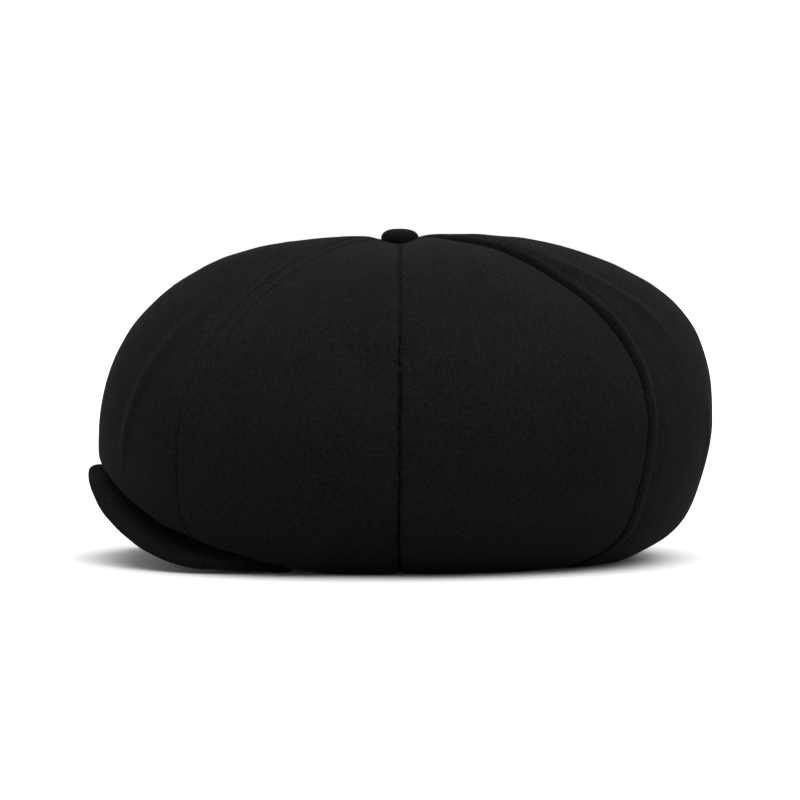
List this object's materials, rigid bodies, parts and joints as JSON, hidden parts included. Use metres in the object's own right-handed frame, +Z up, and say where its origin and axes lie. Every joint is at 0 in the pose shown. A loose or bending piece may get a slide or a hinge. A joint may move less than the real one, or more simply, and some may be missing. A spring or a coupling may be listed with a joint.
{
  "type": "newsboy cap",
  "caption": "Soft gored cloth cap with a full rounded crown, a cloth-covered top button, a satin lining, a sweatband and a short arched visor.",
  "frame": {"origin": "on the surface the cap lies on, at the middle of its length and width, which is also the middle of the oval head opening", "axes": "+Z up through the button, -Y towards the visor, +X towards the wearer's left"},
  "size_m": [0.262, 0.2876, 0.1531],
  "materials": {
    "wool": "near-black brushed wool cloth",
    "satin": "black satin",
    "sweatband": "black ribbed cotton band",
    "interlining": "stiff unbleached canvas",
    "label": "plain woven label",
    "board": "moulded sheet",
    "shell": "pressed sheet",
    "tack": "plain",
    "felt": "black felt"
  },
  "bodies": {
    "cap": {"crown_panel_front_left": "wool", "crown_panel_front_right": "wool", "crown_panel_front_side_left": "wool", "crown_panel_front_side_right": "wool", "crown_panel_back_side_left": "wool", "crown_panel_back_side_right": "wool", "crown_panel_back_left": "wool", "crown_panel_back_right": "wool", "lining_panel_front_left": "satin", "lining_panel_front_right": "satin", "lining_panel_front_side_left": "satin", "lining_panel_front_side_right": "satin", "lining_panel_back_side_left": "satin", "lining_panel_back_side_right": "satin", "lining_panel_back_left": "satin", "lining_panel_back_right": "satin", "sweatband": "sweatband", "sweatband_interlining": "interlining", "size_label": "label", "button_cover": "wool", "button_shell": "shell", "button_tack": "tack", "button_washer": "felt"},
    "visor": {"visor_board": "board", "visor_top_cover": "wool", "visor_under_cover": "wool"}
  },
  "joints": [
    {"name": "visor_flex", "type": "hinge", "parent": "cap", "child": "visor", "pos_m": [0, -0.056, 0.004], "axis": [-1, 0, 0], "range_deg": [0, 10], "stiffness_Nm_per_rad": 0.25, "deforming": ["crown_panel_front_left", "crown_panel_front_right", "crown_panel_front_side_left", "crown_panel_front_side_right", "lining_panel_front_left", "lining_panel_front_right", "lining_panel_front_side_left", "lining_panel_front_side_right", "sweatband", "sweatband_interlining"]}
  ]
}
